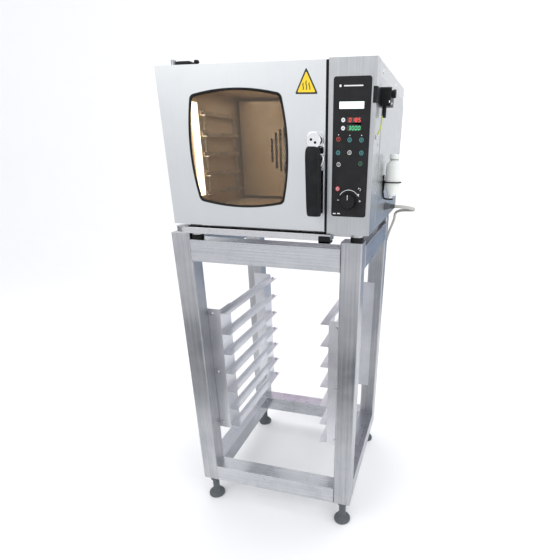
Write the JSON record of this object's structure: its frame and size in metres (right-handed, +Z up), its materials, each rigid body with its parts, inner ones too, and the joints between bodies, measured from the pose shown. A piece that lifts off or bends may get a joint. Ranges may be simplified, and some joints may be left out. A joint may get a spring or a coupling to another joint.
{
  "type": "combi steamer oven",
  "caption": "Compact combi steamer oven with a side-hinged glass door and control column, on an open steel stand with tray runners.",
  "frame": {"origin": "on the floor, under the middle of the object's box, the power cord and what is on it left out", "axes": "+Z up, the door and controls face -Y, +X to the right as seen from the front"},
  "size_m": [0.6797, 0.8423, 1.4453],
  "materials": {
    "stand_steel": "brushed, smudged",
    "casing_steel": "brushed",
    "door_steel": "fine brushed, bright",
    "cavity_steel": "satin, heat tinted",
    "bright_steel": "satin",
    "chrome": "polished",
    "black_plastic": "satin moulded",
    "membrane_film": "satin film",
    "display": "display windows on a green board",
    "red_key": "satin",
    "dark_key": "satin",
    "door_glass": "clear, brown tinted",
    "black_rubber": "moulded",
    "white_plastic": "moulded",
    "lamp": "diffuser",
    "cord_jacket": "matt jacket",
    "foot_plastic": "moulded"
  },
  "bodies": {
    "casing": {"back_panel": "casing_steel", "base_pan": "casing_steel", "bottle_holder": "black_plastic", "cavity_liner": "cavity_steel", "cavity_rack_left": "bright_steel", "cavity_rack_right": "bright_steel", "control_column": "casing_steel", "cord_coil": "cord_jacket", "cord_gland": "foot_plastic", "display_board": "display", "door_seal": "black_rubber", "fan_baffle": "cavity_steel", "fan_motor": "black_plastic", "front_frame": "casing_steel", "heater_ring": "cavity_steel", "hinge_lower": "chrome", "hinge_upper": "chrome", "isolator_housing": "black_plastic", "lamp_strip": "lamp", "leg_back_left": "stand_steel", "leg_back_right": "stand_steel", "leg_front_left": "stand_steel", "leg_front_right": "stand_steel", "mains_plug": "black_plastic", "membrane_panel": "membrane_film", "power_cord": "cord_jacket", "rail_bottom_back": "stand_steel", "rail_bottom_front": "stand_steel", "rail_bottom_left": "stand_steel", "rail_bottom_right": "stand_steel", "rail_top_back": "stand_steel", "rail_top_front": "stand_steel", "rail_top_left": "stand_steel", "rail_top_right": "stand_steel", "side_panel_left": "casing_steel", "side_panel_right": "casing_steel", "steam_vent": "black_plastic", "top_cover": "casing_steel", "tray_rack_left": "stand_steel", "tray_rack_right": "stand_steel"},
    "door": {"door_shell": "door_steel", "door_inner_panel": "door_steel", "outer_glass": "door_glass", "inner_glass": "door_glass", "window_gasket": "black_rubber", "handle_plate": "chrome"},
    "handle": {"handle_boss": "chrome", "handle_lever": "black_plastic", "latch_spindle": "chrome"},
    "fan": {"fan_wheel": "bright_steel"},
    "knob": {"control_knob": "black_plastic"},
    "stop_key": {"key_stop": "red_key"},
    "back_key": {"key_back": "dark_key"},
    "isolator": {"isolator_knob": "black_plastic"},
    "drip_tray": {"drip_tray": "casing_steel"},
    "bottle": {"descaler_bottle": "white_plastic"},
    "foot_front_left": {"foot_front_left": "foot_plastic"},
    "foot_front_right": {"foot_front_right": "foot_plastic"},
    "foot_back_left": {"foot_back_left": "foot_plastic"},
    "foot_back_right": {"foot_back_right": "foot_plastic"}
  },
  "joints": [
    {"name": "door_hinge", "type": "hinge", "parent": "casing", "child": "door", "pos_m": [-0.27065, -0.25685, 1.237], "axis": [0, 0, -1], "range_deg": [0, 110]},
    {"name": "handle_turn", "type": "hinge", "parent": "door", "child": "handle", "pos_m": [0.13235, -0.28685, 1.263], "axis": [0, 1, 0], "range_deg": [0, 75]},
    {"name": "fan_spin", "type": "hinge", "parent": "casing", "child": "fan", "pos_m": [-0.06765, 0.14345, 1.237], "axis": [0, 1, 0], "continuous": true},
    {"name": "knob_turn", "type": "hinge", "parent": "casing", "child": "knob", "pos_m": [0.21485, -0.28685, 1.129], "axis": [0, 1, 0], "continuous": true},
    {"name": "stop_key_press", "type": "slide", "parent": "casing", "child": "stop_key", "axis": [0, 1, 0], "range_m": [0, 0.001], "stiffness_N_per_m": 300},
    {"name": "back_key_press", "type": "slide", "parent": "casing", "child": "back_key", "axis": [0, 1, 0], "range_m": [0, 0.001], "stiffness_N_per_m": 300},
    {"name": "isolator_turn", "type": "hinge", "parent": "casing", "child": "isolator", "pos_m": [0.28935, -0.20885, 1.363], "axis": [1, 0, 0], "range_deg": [0, 90]},
    {"name": "drip_tray_slide", "type": "slide", "parent": "casing", "child": "drip_tray", "axis": [0, -1, 0], "range_m": [0, 0.12]},
    {"name": "bottle_lift", "type": "slide", "parent": "casing", "child": "bottle", "axis": [0, 0, 1], "range_m": [0, 0.09]},
    {"name": "foot_front_left_turn", "type": "hinge", "parent": "casing", "child": "foot_front_left", "pos_m": [-0.29065, -0.22285, 0.05], "axis": [0, 0, 1], "continuous": true},
    {"name": "foot_front_right_turn", "type": "hinge", "parent": "casing", "child": "foot_front_right", "pos_m": [0.21935, -0.22285, 0.05], "axis": [0, 0, 1], "continuous": true},
    {"name": "foot_back_left_turn", "type": "hinge", "parent": "casing", "child": "foot_back_left", "pos_m": [-0.29065, 0.29715, 0.05], "axis": [0, 0, 1], "continuous": true},
    {"name": "foot_back_right_turn", "type": "hinge", "parent": "casing", "child": "foot_back_right", "pos_m": [0.21935, 0.29715, 0.05], "axis": [0, 0, 1], "continuous": true}
  ]
}
